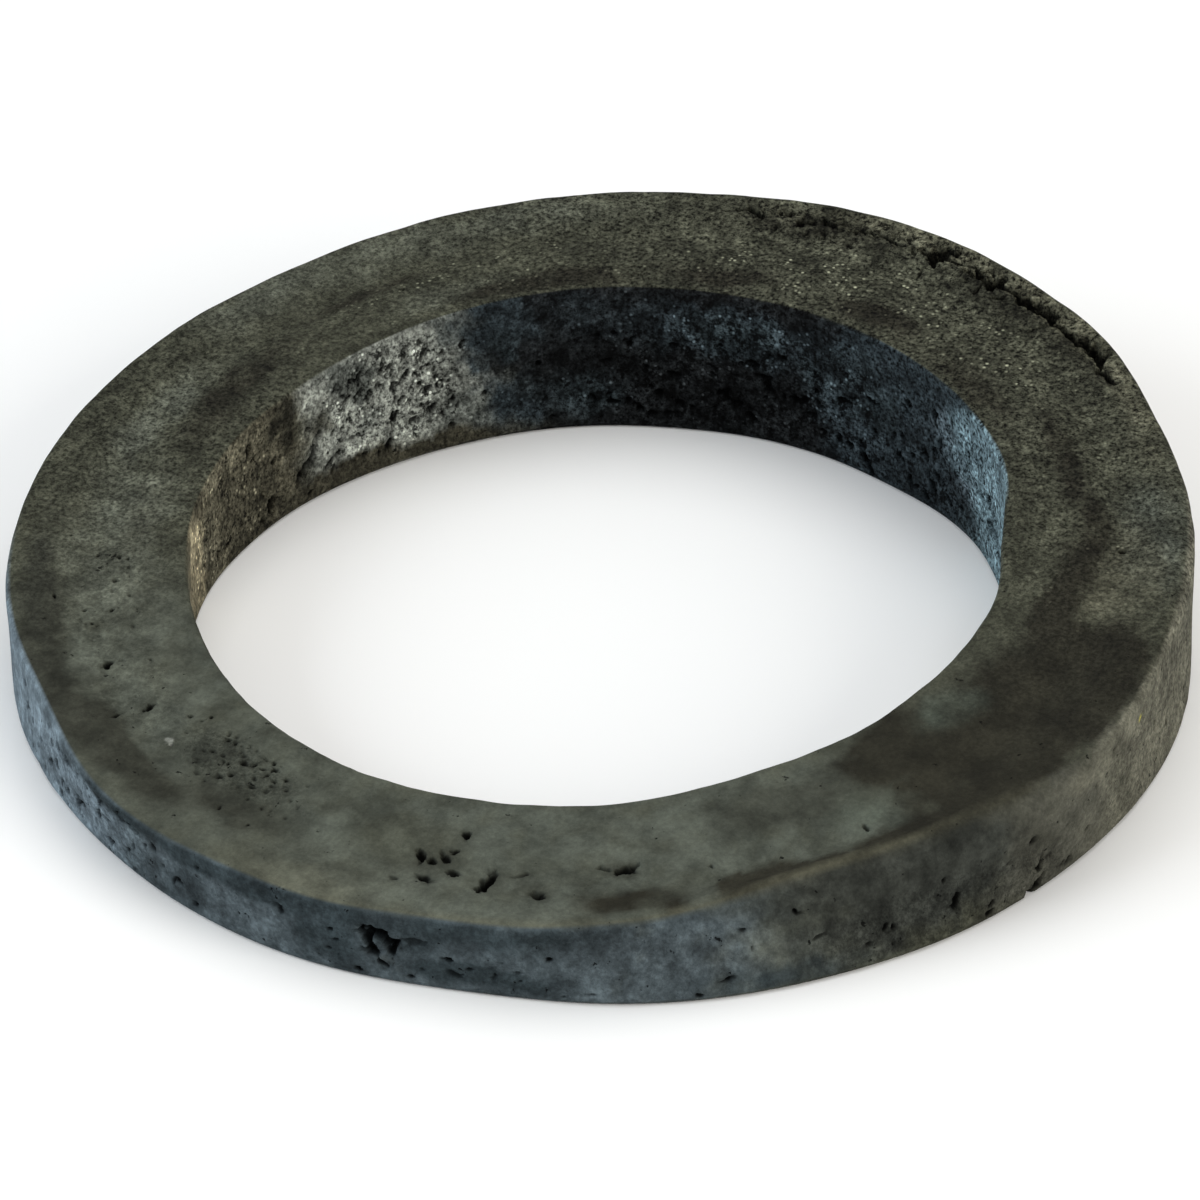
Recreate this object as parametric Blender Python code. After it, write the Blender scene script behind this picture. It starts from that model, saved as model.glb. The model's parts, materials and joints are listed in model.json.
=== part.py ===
"""An overflow gasket for a bath: one ring of soft cellular rubber, thick on one side and thin on the other.

It seals the flange of the overflow elbow to the sloping back of the bath. It lies on its flat face, in metres,
with +Z up, the origin at the centre of that face and the thick side towards +Y. It is well used: the rim is out
of true and worn round on one side, a shallow band round the upper face shows where the fittings pressed on it,
the skin is torn near the rim at the thick side, and the larger pores of the rubber are open.
"""

import math

import bmesh
import bpy
from mathutils import Matrix, Vector

# Driving sizes, in metres
OUTER_DIAMETER = 0.0825
BORE_DIAMETER = 0.0576
THICK_SIDE = 0.0135
THIN_SIDE = 0.0054
FOOT_ROUND = 0.0004
RIM_ROUND = 0.0006
BORE_ROUND = 0.0006
BAND_FROM_RIM = 0.0052
BAND_WIDTH = 0.0060
BAND_DEPTH = 0.0003

# Where the ring is out of true: (azimuth in degrees, reach to each side in degrees, move outwards in metres).
# Azimuth 0 is +X, and 90 is the thick side.
RIM_MOVES = (
    (320, 26, -0.0013),
    (351, 20, 0.0009),
    (287, 14, -0.0004),
    (250, 14, 0.0004),
    (230, 14, -0.0005),
    (190, 44, 0.0006),
    (125, 30, 0.0003),
    (88, 30, 0.0008),
    (60, 14, 0.0003),
    (42, 20, -0.0005),
)
FOOT_MOVES = (
    (330, 36, 0.0004),
    (308, 16, 0.0003),
    (286, 14, -0.0004),
    (245, 24, -0.0003),
    (215, 14, 0.0003),
    (10, 24, 0.0002),
)
BORE_RIM_MOVES = (
    (25, 18, -0.0008),
    (130, 40, 0.0003),
    (190, 30, 0.0004),
    (285, 20, -0.0002),
    (320, 22, -0.0006),
    (345, 45, -0.0004),
)
BORE_FOOT_MOVES = (
    (58, 20, 0.0006),
    (92, 20, 0.0003),
    (150, 30, -0.0004),
    (200, 24, 0.0003),
)

# Where the rim is worn to a wider round: (azimuth, reach, extra radius)
WORN_RIM = (
    (340, 16, 0.0014),
    (322, 14, 0.0006),
    (20, 16, 0.0005),
)

# Grooves in the upper face along the rim: (azimuth, reach, distance in from the rim, half width, depth)
RIM_GROOVES = (
    (322, 30, 0.0026, 0.0016, 0.0002),
    (74, 36, 0.0019, 0.0014, 0.00015),
)

# Open pores: (face, azimuth, place, length, width, depth, turn). The place is a share of the way from the bore to
# the rim on the upper face, and from the foot to the upper edge on a wall. The turn of a pore's length is in
# degrees from the way round the ring, outwards or upwards.
PORES = (
    ("upper", 228.2, 0.54, 0.0008, 0.0006, 0.0007, 40),
    ("upper", 237.9, 0.47, 0.0007, 0.0005, 0.0005, 20),
    ("upper", 284.3, 0.29, 0.0008, 0.0006, 0.0005, 0),
    ("upper", 280.4, 0.48, 0.0011, 0.0006, 0.0006, 28),
    ("upper", 283.1, 0.52, 0.0012, 0.0005, 0.0005, 35),
    ("upper", 281.5, 0.64, 0.0006, 0.0006, 0.0005, 0),
    ("upper", 284.9, 0.56, 0.0008, 0.0005, 0.0005, 20),
    ("upper", 288.7, 0.60, 0.0018, 0.0008, 0.0009, -83),
    ("upper", 294.2, 0.71, 0.0011, 0.0006, 0.0005, 16),
    ("upper", 302.9, 0.51, 0.0010, 0.0008, 0.0008, 10),
    ("outer", 279.2, 0.68, 0.0019, 0.0011, 0.0012, -24),
    ("outer", 280.6, 0.53, 0.0016, 0.0007, 0.0010, -38),
    ("outer", 278.3, 0.48, 0.0022, 0.0007, 0.0010, -72),
    ("outer", 279.3, 0.31, 0.0015, 0.0006, 0.0009, -15),
    ("outer", 344.5, 0.26, 0.0016, 0.0007, 0.0009, 50),
    ("outer", 344.0, 0.12, 0.0020, 0.0009, 0.0010, 20),
    ("outer", 334.6, 0.34, 0.0012, 0.0009, 0.0009, 30),
    ("outer", 269.5, 0.70, 0.0010, 0.0005, 0.0006, -40),
    ("outer", 320.4, 0.44, 0.0014, 0.0005, 0.0005, 17),
    ("bore", 168.9, 0.32, 0.0032, 0.0010, 0.0013, -42),
    ("bore", 176.4, 0.20, 0.0016, 0.0009, 0.0011, -62),
    ("bore", 180.8, 0.80, 0.0013, 0.0006, 0.0008, -55),
    ("bore", 164.3, 0.25, 0.0014, 0.0006, 0.0007, -31),
    ("bore", 160.2, 0.68, 0.0009, 0.0006, 0.0007, -26),
    ("bore", 78.5, 0.15, 0.0027, 0.0008, 0.0010, 53),
    ("bore", 82.4, 0.47, 0.0014, 0.0006, 0.0007, 0),
    ("bore", 77.1, 0.54, 0.0016, 0.0006, 0.0007, 18),
    ("bore", 96.1, 0.47, 0.0014, 0.0006, 0.0007, 0),
    ("bore", 47.2, 0.30, 0.0012, 0.0005, 0.0006, 70),
    ("bore", 43.7, 0.41, 0.0013, 0.0005, 0.0006, 70),
)

# Slits torn along the rim at the thick side, listed as the pores are
TORN_SLITS = (
    ("upper", 85.6, 0.83, 0.0015, 0.0004, 0.0006, -24),
    ("upper", 81.5, 0.89, 0.0029, 0.0005, 0.0010, -10),
    ("upper", 75.0, 0.87, 0.0023, 0.0005, 0.0010, -13),
    ("upper", 66.8, 0.88, 0.0031, 0.0005, 0.0011, -8),
    ("upper", 60.9, 0.85, 0.0021, 0.0004, 0.0008, -3),
    ("upper", 56.9, 0.87, 0.0020, 0.0004, 0.0008, -15),
    ("upper", 53.1, 0.84, 0.0020, 0.0004, 0.0007, -6),
)

# How finely the ring is divided
STEPS_ROUND = 120
ROUND_STEPS = 4
FACE_STEPS = 14
WALL_STEPS = 3
PORE_FINENESS = 2

# The rubber, as the photograph shows it
RUBBER_COLOUR = (0.095, 0.095, 0.085, 1.0)
RUBBER_ROUGHNESS = 0.93

OUTER_RADIUS = OUTER_DIAMETER / 2
BORE_RADIUS = BORE_DIAMETER / 2


def clear_scene():
    for obj in list(bpy.data.objects):
        bpy.data.objects.remove(obj)


def hump(offset, reach):
    """1 at no offset, falling smoothly to 0 at the reach and beyond."""
    if abs(offset) >= reach:
        return 0.0
    return 0.5 + 0.5 * math.cos(math.pi * offset / reach)


def turned(azimuth, centre):
    """The signed angle from centre to azimuth, in degrees."""
    return (azimuth - centre + 180) % 360 - 180


def out_of_true(azimuth, moves):
    """The sum of the moves at this azimuth in degrees."""
    return sum(move * hump(turned(azimuth, centre), reach) for centre, reach, move in moves)


def taper_height(azimuth, radius):
    """Height of the sloping upper face: THIN_SIDE at -Y and THICK_SIDE at +Y, on the outer diameter."""
    slope = (THICK_SIDE - THIN_SIDE) / OUTER_DIAMETER
    return (THICK_SIDE + THIN_SIDE) / 2 + slope * radius * math.sin(math.radians(azimuth))


def pressed_height(azimuth, radius, rim):
    """Height of the upper face with its pressed band and the grooves along the rim."""
    band_radius = OUTER_RADIUS - BAND_FROM_RIM
    dip = BAND_DEPTH * hump(radius - band_radius, BAND_WIDTH / 2)
    for centre, reach, inset, half_width, depth in RIM_GROOVES:
        dip += depth * hump(turned(azimuth, centre), reach) * hump(rim - radius - inset, half_width)
    return taper_height(azimuth, radius) - dip


def between(start, end, steps):
    """Points that divide the line from start to end, without its ends."""
    for step in range(1, steps):
        share = step / steps
        yield tuple(a + (b - a) * share for a, b in zip(start, end))


def rounded(corner, size, start_angle):
    """A quarter round of this size inside the corner, turning anticlockwise from start_angle in degrees."""
    middle = math.radians(start_angle + 45)
    centre_r = corner[0] - size * math.copysign(1, math.cos(middle))
    centre_z = corner[1] - size * math.copysign(1, math.sin(middle))
    for step in range(ROUND_STEPS + 1):
        angle = math.radians(start_angle + 90 * step / ROUND_STEPS)
        yield (centre_r + size * math.cos(angle), centre_z + size * math.sin(angle))


def edges(azimuth):
    """Radii at this azimuth of the rim, its foot, the bore's upper edge and the bore's foot."""
    return (
        OUTER_RADIUS + out_of_true(azimuth, RIM_MOVES),
        OUTER_RADIUS + out_of_true(azimuth, FOOT_MOVES),
        BORE_RADIUS + out_of_true(azimuth, BORE_RIM_MOVES),
        BORE_RADIUS + out_of_true(azimuth, BORE_FOOT_MOVES),
    )


def section(azimuth):
    """The ring cut through at this azimuth: (radius, height) points, anticlockwise from the rim's foot."""
    rim, foot, bore_rim, bore_foot = edges(azimuth)
    rim_size = RIM_ROUND + out_of_true(azimuth, WORN_RIM)
    rim_foot_round = list(rounded((foot, 0.0), FOOT_ROUND, -90))
    rim_top = taper_height(azimuth, rim - rim_size)
    rim_round = list(rounded((rim, rim_top), rim_size, 0))
    bore_top = taper_height(azimuth, bore_rim + BORE_ROUND)
    bore_round = list(rounded((bore_rim, bore_top), BORE_ROUND, 90))
    bore_foot_round = list(rounded((bore_foot, 0.0), FOOT_ROUND, 180))
    face = between(rim_round[-1], bore_round[0], FACE_STEPS)
    return [
        *rim_foot_round,
        *between(rim_foot_round[-1], rim_round[0], WALL_STEPS),
        *rim_round,
        *((radius, pressed_height(azimuth, radius, rim)) for radius, _ in face),
        *bore_round,
        *between(bore_round[-1], bore_foot_round[0], WALL_STEPS),
        *bore_foot_round,
    ]


def ring_mesh():
    bm = bmesh.new()
    loops = []
    for step in range(STEPS_ROUND):
        azimuth = 360 * step / STEPS_ROUND
        across, along = math.cos(math.radians(azimuth)), math.sin(math.radians(azimuth))
        loops.append([bm.verts.new((r * across, r * along, z)) for r, z in section(azimuth)])
    for near, far in zip(loops, loops[1:] + loops[:1]):
        for i in range(len(near)):
            bm.faces.new((near[i - 1], near[i], far[i], far[i - 1]))
    bmesh.ops.recalc_face_normals(bm, faces=bm.faces)
    mesh = bpy.data.meshes.new("overflow_gasket")
    bm.to_mesh(mesh)
    bm.free()
    mesh.shade_smooth()
    mesh.set_sharp_from_angle(angle=math.radians(50))
    return mesh


def pore_place(face, azimuth, place, turn):
    """A matrix at a pore's middle on its face, with X along the pore and Z out of the rubber."""
    angle = math.radians(azimuth)
    out = Vector((math.cos(angle), math.sin(angle), 0.0))
    round_way = Vector((-math.sin(angle), math.cos(angle), 0.0))
    up = Vector((0.0, 0.0, 1.0))
    rim, foot, bore_rim, bore_foot = edges(azimuth)
    if face == "upper":
        radius = bore_rim + (rim - bore_rim) * place
        middle, normal, side = out * radius + up * pressed_height(azimuth, radius, rim), up, out
    else:
        low, high = (foot, rim) if face == "outer" else (bore_foot, bore_rim)
        middle = out * (low + (high - low) * place) + up * taper_height(azimuth, high) * place
        normal, side = (out, up) if face == "outer" else (-out, up)
    lean = math.radians(turn)
    along = round_way * math.cos(lean) + side * math.sin(lean)
    axes = Matrix((along, normal.cross(along), normal)).transposed()
    return Matrix.Translation(middle) @ axes.to_4x4()


def pore_cutter():
    """One object of half-sunk ellipsoids that cuts the open pores and the torn slits."""
    bm = bmesh.new()
    for face, azimuth, place, length, width, depth, turn in PORES + TORN_SLITS:
        size = Matrix.Diagonal((length / 2, width / 2, depth, 1.0))
        matrix = pore_place(face, azimuth, place, turn) @ size
        bmesh.ops.create_icosphere(bm, subdivisions=PORE_FINENESS, radius=1.0, matrix=matrix)
    bmesh.ops.recalc_face_normals(bm, faces=bm.faces)
    mesh = bpy.data.meshes.new("pore_cutter")
    bm.to_mesh(mesh)
    bm.free()
    cutter = bpy.data.objects.new("pore_cutter", mesh)
    cutter.hide_render = True
    cutter.display_type = "WIRE"
    bpy.context.scene.collection.objects.link(cutter)
    return cutter


def cut_pores(gasket):
    cut = gasket.modifiers.new("open_pores", "BOOLEAN")
    cut.operation = "DIFFERENCE"
    cut.solver = "EXACT"
    cut.use_self = True
    cut.object = pore_cutter()


def rubber_material():
    material = bpy.data.materials.new("cellular_rubber")
    material.use_nodes = True
    shader = material.node_tree.nodes["Principled BSDF"]
    shader.inputs["Base Color"].default_value = RUBBER_COLOUR
    shader.inputs["Roughness"].default_value = RUBBER_ROUGHNESS
    shader.inputs["Metallic"].default_value = 0.0
    return material


def main():
    clear_scene()
    gasket = bpy.data.objects.new("overflow_gasket", ring_mesh())
    gasket.data.materials.append(rubber_material())
    bpy.context.scene.collection.objects.link(gasket)
    cut_pores(gasket)


main()
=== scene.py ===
"""The looks of the overflow gasket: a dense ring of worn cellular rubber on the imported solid, with a pale
floor, soft studio light and the photograph's camera.

Lengths are in metres, except where a name ends in _MM or a table's heading says mm. Azimuths are in degrees
round +Z from +X, so 90 is the thick side. A table's reach is how far its effect goes to each side of an
azimuth, in degrees, or, across, to each side of a place.
"""

import json
import math

import bmesh
import bpy
import numpy as np
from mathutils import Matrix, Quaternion, Vector, noise
from mathutils.bvhtree import BVHTree
from mathutils.kdtree import KDTree

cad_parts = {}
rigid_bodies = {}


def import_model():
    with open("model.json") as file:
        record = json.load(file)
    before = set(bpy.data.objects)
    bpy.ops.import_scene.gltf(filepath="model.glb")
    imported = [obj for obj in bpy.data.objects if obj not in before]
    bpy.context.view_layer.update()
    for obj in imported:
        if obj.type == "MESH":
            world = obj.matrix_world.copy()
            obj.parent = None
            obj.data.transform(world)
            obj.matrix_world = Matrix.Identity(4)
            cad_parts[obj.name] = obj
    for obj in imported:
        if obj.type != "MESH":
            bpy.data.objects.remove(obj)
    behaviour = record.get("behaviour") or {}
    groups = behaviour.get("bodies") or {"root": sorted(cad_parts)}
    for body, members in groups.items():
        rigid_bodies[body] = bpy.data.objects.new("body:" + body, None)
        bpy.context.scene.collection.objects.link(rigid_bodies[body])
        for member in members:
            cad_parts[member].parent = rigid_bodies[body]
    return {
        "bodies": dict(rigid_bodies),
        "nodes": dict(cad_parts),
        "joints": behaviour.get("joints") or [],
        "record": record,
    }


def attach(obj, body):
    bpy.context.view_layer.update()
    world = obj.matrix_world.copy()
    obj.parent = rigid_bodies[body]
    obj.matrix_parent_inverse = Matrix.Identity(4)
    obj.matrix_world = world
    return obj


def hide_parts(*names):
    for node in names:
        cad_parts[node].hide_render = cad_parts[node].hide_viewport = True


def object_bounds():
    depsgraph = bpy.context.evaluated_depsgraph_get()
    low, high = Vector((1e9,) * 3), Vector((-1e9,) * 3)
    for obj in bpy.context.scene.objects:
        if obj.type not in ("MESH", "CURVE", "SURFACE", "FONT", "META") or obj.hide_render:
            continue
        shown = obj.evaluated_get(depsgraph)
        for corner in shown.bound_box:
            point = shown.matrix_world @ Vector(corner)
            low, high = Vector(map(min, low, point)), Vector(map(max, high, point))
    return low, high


NODE = "overflow_gasket"
BODY = "root"
SEED = 41
MM = 0.001

# The photograph's camera: where it looks from, in the part's own frame
CAMERA_AZIMUTH = 31.0
CAMERA_ELEVATION = 34.37
CAMERA_ROLL = -1.27
CAMERA_DISTANCE = 0.4286
CAMERA_LENS_MM = 182.2
SENSOR_MM = 36.0
AIM_UP = 0.00322
AIM_LEFT = 0.00015

# How finely the ring is divided before its pits are refined
STEPS_ROUND = 480
WALL_POINTS = 18
FACE_POINTS = 25
UNDER_POINTS = 6
CORNER_POINTS = 5
FOOT_POINTS = 3

# How often the faces near a pit are divided, what counts as near at first, and how crumbly a zone is whose
# faces are divided once
REFINED_TIMES = 3
PIT_MARGIN_MM = 0.2
REFINED_CRUMBLINESS = 0.5

# The rings measured on the solid: how many samples to each side go into a median, and how many waves round
# the ring are kept
MEDIAN_REACH = 2
SMOOTH_WAVES = 24

# About where the rim is, to take the height of the face there
RIM_RADIUS = 0.041

# Rounding of the edges
FOOT_ROUND = 0.0004
RIM_ROUND = 0.0006
BORE_ROUND = 0.00035

# Where the rim is worn to a wider round: (azimuth, reach, extra radius)
WORN_RIM = (
    (340, 16, 0.0014),
    (322, 14, 0.0006),
    (20, 16, 0.0005),
)

# Low, uneven swelling of the whole surface: (size, height)
SWELLING = (
    (0.0120, 0.00012),
    (0.0035, 0.00006),
    (0.0014, 0.00003),
)

# Grooves and lips that follow the rim: (azimuth, reach, distance in from the rim in mm, width in mm, height)
RIM_LINES = (
    (322, 30, 2.6, 1.6, -0.00020),
    (310, 52, 0.9, 0.7, 0.00009),
    (74, 36, 1.9, 1.4, -0.00015),
    (78, 34, 0.7, 0.7, 0.00009),
    (74, 22, 2.7, 0.7, 0.00012),
)

# Where the skin is gone and the rubber is crumbly: (face, azimuth, reach, place, reach across, strength)
CRUMBLY = (
    ("bore", 153, 24, 6.0, 9.0, 0.80),
    ("bore", 98, 44, 5.5, 10.0, 1.0),
    ("bore", 56, 24, 5.0, 9.0, 0.85),
    ("bore", 187, 24, 5.0, 9.0, 0.75),
    ("bore", 290, 80, 4.0, 8.0, 0.45),
    ("outer", 243, 22, 2.5, 6.0, 0.30),
    ("outer", 285, 60, 3.0, 8.0, 0.20),
    ("outer", 335, 26, 2.0, 4.0, 0.35),
    ("outer", 5, 22, 4.0, 9.0, 0.4),
    ("outer", 120, 100, 5.0, 12.0, 0.45),
    ("rim", 80, 36, 1.7, 1.7, 0.95),
    ("top", 253, 16, 33.4, 3.4, 0.3),
    ("top", 225, 40, 34.6, 5.0, 0.2),
    ("under", 0, 360, 35.0, 20.0, 0.3),
)

# The crumbs themselves: (size, height). The offset keeps their noise off that of the swelling, and the loss
# is how much more is worn away than stands up.
CRUMBS = (
    (0.0011, 0.00010),
    (0.0005, 0.00008),
)
CRUMB_OFFSET = 5.0
CRUMB_LOSS = 0.4

# How gritty the surface looks, by azimuth: (azimuth, reach, strength), above the least
LEAST_GRIT = 0.15
GRIT = (
    (92, 110, 1.05),
    (30, 60, 0.40),
    (188, 46, 0.70),
)

# Where pale grains of sand show: (face, azimuth, reach, place, reach across, strength)
SANDY = (
    ("top", 82, 50, 33.6, 5.0, 1.3),
    ("top", 130, 46, 33.0, 5.0, 0.6),
    ("top", 60, 60, 37.0, 6.0, 0.35),
    ("top", 205, 40, 35.0, 7.0, 0.10),
    ("top", 30, 36, 33.5, 6.0, 0.35),
    ("bore", 152, 22, 6.5, 8.0, 0.8),
    ("bore", 102, 48, 6.5, 10.0, 1.2),
    ("bore", 52, 20, 6.0, 9.0, 0.25),
    ("bore", 190, 24, 4.0, 8.0, 0.8),
)

# Where the colour is spotty without being crumbly: (face, azimuth, reach, place, reach across, strength)
SPOTTY = (
    ("outer", 250, 60, 3.0, 14.0, 0.30),
    ("outer", 315, 50, 3.0, 14.0, 0.30),
    ("bore", 106, 58, 6.0, 18.0, 0.75),
    ("bore", 152, 30, 6.0, 18.0, 0.25),
    ("bore", 186, 40, 5.0, 18.0, 0.5),
    ("top", 84, 44, 38.0, 6.0, 0.6),
    ("top", 210, 60, 36.0, 9.0, 0.22),
)

# Pits that stand out in the photograph: (face, azimuth, place, length, width, depth, turn), lengths in mm.
# The place is a radius on the top and the underside, and a height on the walls. The turn is in degrees from
# the way round the ring, outwards or upwards.
MARKED_PITS = (
    ("top", 228.2, 35.5, 0.85, 0.60, 0.60, 60),
    ("top", 237.9, 34.7, 0.75, 0.45, 0.45, 60),
    ("top", 244.0, 31.7, 0.45, 0.35, 0.35, 60),
    ("top", 237.0, 36.8, 0.45, 0.28, 0.30, 60),
    ("top", 219.1, 34.3, 0.40, 0.30, 0.35, 0),
    ("top", 220.5, 35.8, 0.35, 0.25, 0.30, 0),
    ("top", 218.0, 36.2, 0.35, 0.25, 0.30, 90),
    ("top", 215.3, 38.2, 0.35, 0.28, 0.30, 0),
    ("top", 209.9, 33.1, 0.32, 0.26, 0.26, 0),
    ("top", 208.5, 35.3, 0.32, 0.26, 0.26, 0),
    ("top", 261.0, 37.0, 0.40, 0.26, 0.25, 80),
    ("top", 256.8, 36.9, 0.50, 0.24, 0.22, 70),
    ("top", 257.2, 32.1, 0.45, 0.34, 0.30, 60),
    ("top", 252.2, 33.6, 0.45, 0.34, 0.30, 60),
    ("top", 253.5, 32.9, 0.45, 0.32, 0.30, 80),
    ("top", 254.9, 32.5, 0.42, 0.30, 0.26, 80),
    ("top", 284.3, 32.4, 0.75, 0.65, 0.45, 0),
    ("top", 280.4, 34.8, 1.10, 0.60, 0.50, 28),
    ("top", 282.0, 35.1, 0.90, 0.40, 0.35, 30),
    ("top", 283.1, 34.7, 1.00, 0.55, 0.40, 20),
    ("top", 284.0, 34.1, 0.60, 0.40, 0.35, -30),
    ("top", 281.9, 36.8, 0.80, 0.65, 0.48, 20),
    ("top", 284.7, 35.9, 0.75, 0.55, 0.35, 20),
    ("top", 278.8, 37.3, 0.70, 0.30, 0.16, 10),
    ("top", 288.7, 36.2, 1.90, 0.75, 0.75, -76),
    ("top", 288.2, 37.1, 0.90, 0.60, 0.50, 20),
    ("top", 291.8, 35.6, 1.20, 0.30, 0.14, -18),
    ("top", 294.2, 37.8, 1.05, 0.80, 0.40, 14),
    ("top", 300.6, 35.0, 0.90, 0.30, 0.18, 24),
    ("top", 302.9, 35.2, 1.15, 0.85, 0.60, 10),
    ("top", 311.8, 35.9, 0.40, 0.26, 0.20, 80),
    ("top", 328.6, 36.5, 0.60, 0.32, 0.24, 80),
    ("top", 22.6, 36.3, 0.75, 0.36, 0.30, 85),
    ("outer", 279.1, 3.75, 2.10, 1.20, 1.30, -15),
    ("outer", 278.6, 2.8, 2.90, 0.80, 1.00, -64),
    ("outer", 280.6, 3.2, 1.70, 0.90, 1.00, -32),
    ("outer", 280.8, 2.6, 1.10, 0.60, 0.70, 50),
    ("outer", 279.7, 1.5, 0.90, 0.50, 0.60, -30),
    ("outer", 282.8, 3.6, 1.90, 0.55, 0.20, 0),
    ("outer", 286.9, 1.4, 1.10, 0.40, 0.22, -20),
    ("outer", 290.9, 5.0, 0.60, 0.30, 0.22, 0),
    ("outer", 269.5, 3.8, 0.80, 0.30, 0.25, -70),
    ("outer", 344.5, 2.2, 1.20, 0.60, 0.70, 75),
    ("outer", 344.3, 0.7, 1.60, 0.80, 0.85, 50),
    ("outer", 338.1, 0.6, 0.70, 0.45, 0.45, 0),
    ("outer", 234.2, 4.2, 0.70, 0.35, 0.30, 60),
    ("outer", 236.8, 2.0, 1.10, 0.34, 0.34, 80),
    ("outer", 241.2, 4.5, 0.60, 0.25, 0.22, 70),
    ("outer", 245.8, 4.4, 1.00, 0.40, 0.42, 70),
    ("outer", 254.2, 4.0, 0.90, 0.36, 0.28, -60),
    ("outer", 256.6, 2.0, 1.00, 0.28, 0.22, 70),
    ("outer", 334.6, 2.6, 1.30, 0.70, 0.65, 70),
    ("outer", 320.4, 3.0, 0.90, 0.26, 0.20, 17),
    ("outer", 318.5, 5.0, 0.70, 0.36, 0.36, -60),
    ("outer", 313.3, 4.5, 0.45, 0.28, 0.24, 0),
    ("outer", 308.9, 0.5, 0.55, 0.35, 0.30, 0),
    ("bore", 168.9, 3.2, 3.20, 0.95, 1.30, -42),
    ("bore", 176.4, 1.9, 1.60, 0.80, 1.10, -62),
    ("bore", 180.8, 7.5, 1.20, 0.50, 0.70, -55),
    ("bore", 164.3, 2.5, 1.30, 0.45, 0.55, -31),
    ("bore", 168.3, 0.9, 0.70, 0.35, 0.45, -24),
    ("bore", 175.4, 5.2, 1.00, 0.35, 0.40, -60),
    ("bore", 160.2, 7.1, 0.90, 0.40, 0.50, -26),
    ("bore", 156.5, 9.9, 0.80, 0.40, 0.45, -50),
    ("bore", 154.0, 8.2, 0.80, 0.35, 0.45, -40),
    ("bore", 152.5, 4.2, 1.10, 0.40, 0.45, -30),
    ("bore", 146.8, 5.4, 0.80, 0.35, 0.40, -40),
    ("bore", 150.8, 6.8, 0.70, 0.35, 0.40, -60),
    ("bore", 78.5, 1.4, 2.70, 0.60, 0.90, 53),
    ("bore", 82.4, 5.7, 1.40, 0.50, 0.55, 0),
    ("bore", 77.1, 6.6, 1.60, 0.45, 0.55, 18),
    ("bore", 90.6, 4.4, 1.50, 0.45, 0.50, 10),
    ("bore", 96.1, 5.7, 1.40, 0.45, 0.50, 0),
    ("bore", 102.5, 3.6, 1.30, 0.50, 0.50, -20),
    ("bore", 109.8, 4.8, 1.10, 0.45, 0.45, 10),
    ("bore", 118.6, 2.2, 1.30, 0.45, 0.45, 0),
    ("bore", 71.5, 3.1, 1.30, 0.45, 0.50, 30),
    ("bore", 65.1, 2.4, 1.40, 0.55, 0.60, 50),
    ("bore", 61.4, 1.9, 1.10, 0.50, 0.60, 60),
    ("bore", 58.1, 2.0, 1.10, 0.50, 0.60, 65),
    ("bore", 51.5, 5.4, 1.30, 0.90, 1.30, 30),
    ("bore", 48.4, 5.9, 1.30, 0.90, 1.30, 0),
    ("bore", 45.5, 5.4, 1.60, 0.90, 1.40, 20),
    ("bore", 47.4, 4.0, 1.30, 0.80, 1.30, 0),
    ("bore", 44.4, 4.0, 1.40, 0.90, 1.40, 20),
    ("bore", 43.6, 2.8, 1.30, 0.60, 1.20, 0),
)

# The torn line near the rim at the thick side, as slits of the same form
TORN_SLITS = (
    ("top", 104.5, 39.5, 1.60, 0.24, 0.40, -14),
    ("top", 103.2, 39.4, 1.60, 0.60, 0.70, 20),
    ("top", 99.5, 39.8, 1.30, 0.22, 0.40, -30),
    ("top", 97.2, 39.1, 1.90, 0.60, 0.70, -12),
    ("top", 94.6, 39.4, 1.50, 0.50, 0.60, 24),
    ("top", 91.0, 39.6, 1.60, 0.50, 0.60, -18),
    ("top", 87.6, 39.6, 1.50, 0.40, 0.55, 16),
    ("top", 85.6, 39.2, 1.70, 0.26, 0.40, -24),
    ("top", 82.2, 39.7, 3.00, 1.50, 1.40, -8),
    ("top", 79.2, 39.8, 2.00, 0.70, 1.00, -16),
    ("top", 77.2, 40.1, 1.30, 0.24, 0.45, -16),
    ("top", 75.0, 39.5, 3.20, 1.60, 1.50, -10),
    ("top", 71.2, 39.6, 1.80, 0.60, 0.90, -6),
    ("top", 66.8, 39.7, 3.60, 1.25, 1.30, -10),
    ("top", 63.2, 39.5, 2.10, 0.60, 0.90, -16),
    ("top", 60.4, 39.5, 2.90, 0.95, 1.15, -2),
    ("top", 56.6, 39.8, 3.00, 0.90, 1.10, 12),
    ("top", 53.1, 39.2, 2.30, 0.44, 0.65, -8),
    ("top", 81.2, 37.2, 1.20, 0.24, 0.25, 74),
    ("top", 74.0, 38.3, 1.50, 0.22, 0.25, 74),
    ("top", 70.9, 38.4, 1.50, 0.24, 0.28, -34),
    ("top", 64.2, 38.1, 1.30, 0.22, 0.22, -72),
)

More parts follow.
